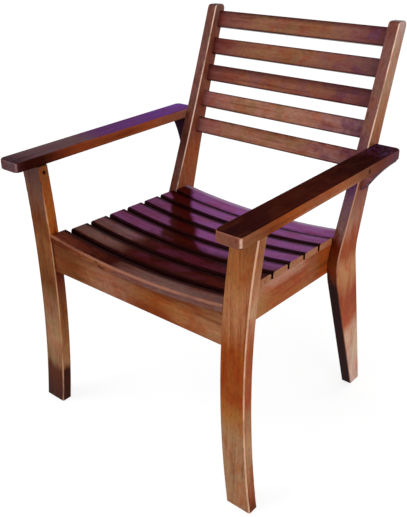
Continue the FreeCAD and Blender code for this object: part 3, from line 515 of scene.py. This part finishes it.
for step, (lift, upper_band_width) in enumerate(((3, 0.014), (3, 0.006), (0, 0.019), (27, 0.006), (20, 0.006))):
    number = step + 1
    edges = dark_and_shaded_edges(top_slat_y - forward_per_slat * step, top_slat_z - down_per_slat * step, upper_band_width)
    give(f"back_slat_{number}", varnished_wood(f"back_wood_{number}", "X", 20 + number, [
        ("all", [(metres, tone(red + lift, green + lift, blue + lift)) for metres, red, green, blue in (
            (-0.235, 98, 50, 48), (-0.17, 120, 69, 60), (-0.1, 134, 83, 64),
            (0.08, 132, 82, 64), (0.17, 116, 70, 66), (0.235, 90, 52, 58))]),
        ("+Z", [(-0.235, tone(70, 32, 34)), (0.235, tone(66, 30, 36))]),
    ], stains_and_painted_light=[
        (tone(118, 72, 78) if number == 3 else tone(128, 92, 58), olive_middle),
        (tone(92, 50, 78), purple_end),
        (tone(64, 29, 30), edges),
    ], contrast=0.9))

# Arms and their brackets
# Flat boards with rounded corners lying on the front legs and against the posts, each screwed from below
# to a small curved bracket on the post; the near top is nearly black with varnish, the far top carries
# a painted purple reflection, and painted highlights mark the front corners and the near outer edge.
arm_top_z = 0.6349
arm_rise_per_metre = 0.0182


def deep(red, green, blue):
    """A colour under the thinner varnish of the arms, which adds hardly any haze."""
    return tone(red, green, blue, 0.001)


def corner_highlight(tree, place, normals, board):
    """A painted highlight down the middle of the rounded front corner."""
    corner = times(tree, facing(tree, normals, "+X"), facing(tree, normals, "-Y"))
    return times(tree, rising(tree, corner, 0.44, 0.5, 0.8), rising(tree, place["Y"], -0.28, -0.3))


def lower_edge_highlight(tree, place, normals, board):
    """A painted highlight on the lower part of the outer edge, from behind the leg backwards."""
    top_of_board = plus(tree, times(tree, place["Y"], arm_rise_per_metre), arm_top_z)
    below = less(tree, top_of_board, place["Z"])
    stretch = between(tree, place["Y"], -0.22, -0.14, 0.0, 0.1)
    return times(tree, on_side(tree, normals, "+X"), stretch, rising(tree, below, 0.013, 0.019, 0.5))


def knot(tree, place, normals, board):
    """A small dark knot in the outer edge, near the post."""
    knot_y, knot_z = 0.0985, 0.6254
    square = plus(tree, reckoned(tree, "POWER", less(tree, place["Y"], knot_y), 2.0),
                  reckoned(tree, "POWER", less(tree, place["Z"], knot_z), 2.0))
    return times(tree, on_side(tree, normals, "+X"), rising(tree, square, 0.00005, 0.000008, 0.75))


def purple_reflection_specks(tree, place, normals, board):
    """Purple specks of painted reflection in the varnish at the rear end of the top."""
    specks = rising(tree, noise(tree, board, 130, 3, 0.6), 0.5, 0.62, 0.8)
    top_face = rising(tree, facing(tree, normals, "+Z"), 0.6, 0.9)
    return times(tree, specks, top_face, rising(tree, place["Y"], 0.13, 0.19))


def brown_drifts(tree, place, normals, board):
    """Browner drifts in the nearly black top."""
    drifts = rising(tree, noise(tree, squeezed(tree, board, (0.5, 1.3, 1.3)), 30, 3, 0.6), 0.48, 0.66, 0.45)
    return times(tree, drifts, rising(tree, facing(tree, normals, "+Z"), 0.6, 0.9))


near_top = [(-0.33, deep(36, 12, 13)), (-0.15, deep(56, 20, 14)), (-0.05, deep(56, 20, 16)),
            (0.05, deep(42, 15, 13)), (0.16, deep(38, 13, 12)), (0.24, deep(42, 15, 28))]
near_edge = [(-0.33, deep(142, 90, 64)), (-0.26, deep(124, 64, 36)), (-0.18, deep(152, 78, 36)),
             (-0.1, deep(144, 80, 52)), (0.0, deep(154, 88, 56)), (0.06, deep(126, 76, 52)),
             (0.15, deep(106, 54, 44)), (0.24, deep(96, 62, 74))]
# Near marks: painted highlights on the corner and lower edge, brown drifts, a knot, and specks of painted purple
# reflection.
near_marks_and_highlights = [(deep(236, 196, 176), corner_highlight), (deep(186, 128, 100), lower_edge_highlight),
               (deep(72, 32, 18), brown_drifts), (deep(56, 26, 22), knot), (deep(78, 36, 76), purple_reflection_specks)]
# The far top carries a painted reflection, grey-mauve in front and purple towards the back.
far_top_and_reflection = [(-0.33, deep(54, 34, 40)), (-0.27, deep(86, 62, 68)), (-0.14, deep(92, 66, 70)),
           (-0.07, deep(88, 46, 94)), (0.24, deep(102, 56, 136))]
far_edge = [(-0.33, deep(74, 36, 38)), (-0.3, deep(48, 15, 11)), (-0.25, deep(52, 19, 13)),
            (-0.2, deep(98, 42, 24)), (-0.14, deep(138, 64, 34)), (0.0, deep(140, 70, 40)),
            (0.07, deep(160, 78, 42)), (0.15, deep(146, 86, 62)), (0.24, deep(160, 106, 90))]
# The far arm has only a painted highlight on its front corner.
far_corner_highlight = [(deep(140, 100, 104), corner_highlight)]
near_bracket_front = [(0.54, deep(130, 80, 82)), (0.62, deep(136, 84, 84))]
# The far bracket's front face is painted dark purple as shade.
far_bracket_front_shade = [(0.54, deep(60, 34, 52)), (0.62, deep(54, 30, 44))]
bracket_purple = [(0.54, deep(84, 48, 76)), (0.62, deep(76, 44, 66))]
for side, outward, seed, top, edge, nose, stains_and_painted_light, bracket_front in (
    ("left", "+X", 31, near_top, near_edge, deep(156, 100, 84), near_marks_and_highlights, near_bracket_front),
    ("right", "-X", 32, far_top_and_reflection, far_edge, deep(114, 88, 96), far_corner_highlight, far_bracket_front_shade),
):
    give(f"armrest_{side}", varnished_wood(f"{side}_arm_wood", "Y", seed, [
        ("all", [(-0.33, deep(60, 28, 20)), (0.24, deep(50, 22, 18))]),
        ("+Z", top), ("+X", edge), ("-X", edge), ("-Y", [(-0.34, nose), (-0.3, nose)]),
    ], stains_and_painted_light=stains_and_painted_light, contrast=0.7, gloss=0.001, polish=0.2))
    give(f"arm_bracket_{side}", varnished_wood(f"{side}_bracket_wood", "Z", seed + 4, [
        ("all", [(0.54, deep(104, 60, 46)), (0.62, deep(92, 50, 40))]),
        (outward, bracket_purple), ("-Z", bracket_purple), ("-Y", bracket_front),
    ], gloss=0.001))

# Dowels, pegs and screws
# Round hardwood bars hidden in the joints, a peg that shows as a dark spot on the leg,
# and slotted steel screws in shallow round recesses.
peg_wood = varnished_wood("peg_wood", "X", 41, [("all", [(-0.3, deep(62, 28, 16)), (0.3, deep(66, 30, 18))])])
for node in ("arm_dowels", "leg_pegs", "slat_dowels"):
    give(node, peg_wood)
screw_steel = bpy.data.materials.new("screw_steel")
screw_steel.use_nodes = True
steel_tree = screw_steel.node_tree
steel = steel_tree.nodes["Principled BSDF"]
steel_spot = steel_tree.nodes.new("ShaderNodeTexCoord")
tarnish = noise(steel_tree, steel_spot.outputs["Object"], 600, 4)
steel_colour = toned(steel_tree, tarnish, [(0.3, deep(96, 88, 78)), (0.7, deep(170, 164, 154))])
steel_tree.links.new(steel_colour, steel.inputs["Base Color"])
steel_tree.links.new(rising(steel_tree, tarnish, 0.1, 2.0), steel.inputs["Roughness"])
steel.inputs["Metallic"].default_value = 1.0
for node in ("post_screws", "bracket_screws", "arm_screws"):
    give(node, screw_steel)

# Floor
# A plain pale sheet that shows nearly white to the camera and in the varnish and keeps a faint shadow.
# Far from the chair it glows a little more, so that its edge is lost in the pale surroundings.
floor_width = 24
near_glow, far_gain = 1.12, 0.09


def seen_directly(tree):
    """1 for the rays of the camera and for those mirrored or passed on, 0 for the rest."""
    paths = tree.nodes.new("ShaderNodeLightPath")
    plain = larger(tree, paths.outputs["Is Camera Ray"], paths.outputs["Is Glossy Ray"])
    return larger(tree, plain, paths.outputs["Is Transmission Ray"])


bpy.ops.mesh.primitive_plane_add(size=floor_width, location=(0, 0, 0))
floor = bpy.context.object
floor.name = "studio_floor"
floor_paint = bpy.data.materials.new("floor_paint")
floor_paint.use_nodes = True
floor_tree = floor_paint.node_tree
matt = floor_tree.nodes["Principled BSDF"]
matt.inputs["Base Color"].default_value = (0.9, 0.9, 0.9, 1)
matt.inputs["Roughness"].default_value = 0.9
glow = floor_tree.nodes.new("ShaderNodeEmission")
glow.inputs["Color"].default_value = (1, 1, 1, 1)
both = floor_tree.nodes.new("ShaderNodeMixShader")
floor_tree.links.new(times(floor_tree, seen_directly(floor_tree), 0.72), both.inputs["Fac"])
floor_tree.links.new(matt.outputs["BSDF"], both.inputs[1])
floor_tree.links.new(glow.outputs["Emission"], both.inputs[2])
floor_tree.links.new(both.outputs["Shader"], floor_tree.nodes["Material Output"].inputs["Surface"])
floor_spot = floor_tree.nodes.new("ShaderNodeTexCoord")
far_off = floor_tree.nodes.new("ShaderNodeVectorMath")
far_off.operation = "LENGTH"
floor_tree.links.new(floor_spot.outputs["Object"], far_off.inputs[0])
extra_glow = rising(floor_tree, far_off.outputs["Value"], 2.0, 6.0, far_gain)
floor_tree.links.new(plus(floor_tree, extra_glow, near_glow), glow.inputs["Strength"])
floor.data.materials.append(floor_paint)

# Lights and surroundings
# A soft overhead key from the front left, a weaker fill from the right, one from behind, and an even pale world.
chair_middle = Vector((0, 0, 0.45))
for name, place, size, power in (
    ("key", (-1.6, -2.4, 3.0), 2.2, 60),
    ("fill", (3.0, -1.2, 2.0), 2.5, 30),
    ("back", (0.5, 3.0, 2.6), 2.5, 30),
):
    lamp = bpy.data.lights.new(name, "AREA")
    lamp.size = size
    lamp.energy = power
    holder = bpy.data.objects.new(name, lamp)
    holder.location = place
    holder.rotation_euler = (chair_middle - Vector(place)).to_track_quat("-Z", "Y").to_euler()
    bpy.context.scene.collection.objects.link(holder)
world = bpy.data.worlds.new("studio")
world.use_nodes = True
bpy.context.scene.world = world
sky_tree = world.node_tree
sky = sky_tree.nodes["Background"]
light_cast, gain_when_seen = 0.6, 0.4
strength = plus(sky_tree, times(sky_tree, seen_directly(sky_tree), gain_when_seen), light_cast)
sky_tree.links.new(strength, sky.inputs["Strength"])
sky.inputs["Color"].default_value = (1, 1, 1, 1)

# Camera
# Stands at the photograph's place, in front of the chair and above it, on its left side,
# with the photograph's own focal length and optical centre.
photo_width, photo_height = 407, 517
focal_pixels = 700
optical_centre = (205.36, 252.09)
film_height = 36
azimuth = math.radians(39.535)
elevation = math.radians(25.758)
roll = 0.00065
camera_place = (0.9085, -1.1315, 1.0870)
camera_data = bpy.data.cameras.new("camera")
camera = bpy.data.objects.new("camera", camera_data)
bpy.context.scene.collection.objects.link(camera)
forward = Vector((
    -math.sin(azimuth) * math.cos(elevation),
    math.cos(azimuth) * math.cos(elevation),
    -math.sin(elevation),
))
right = Vector((math.cos(azimuth), math.sin(azimuth), 0))
up = right.cross(forward)
turned = Matrix((right, up, -forward)).transposed() @ Matrix.Rotation(-roll, 3, "Z")
camera.matrix_world = Matrix.Translation(camera_place) @ turned.to_4x4()
camera_data.sensor_fit = "VERTICAL"
camera_data.sensor_height = film_height
camera_data.lens = focal_pixels * film_height / photo_height
camera_data.shift_x = -(optical_centre[0] - photo_width / 2) / photo_height
camera_data.shift_y = (optical_centre[1] - photo_height / 2) / photo_height
bpy.context.scene.camera = camera

bpy.context.scene.view_settings.view_transform = "Standard"
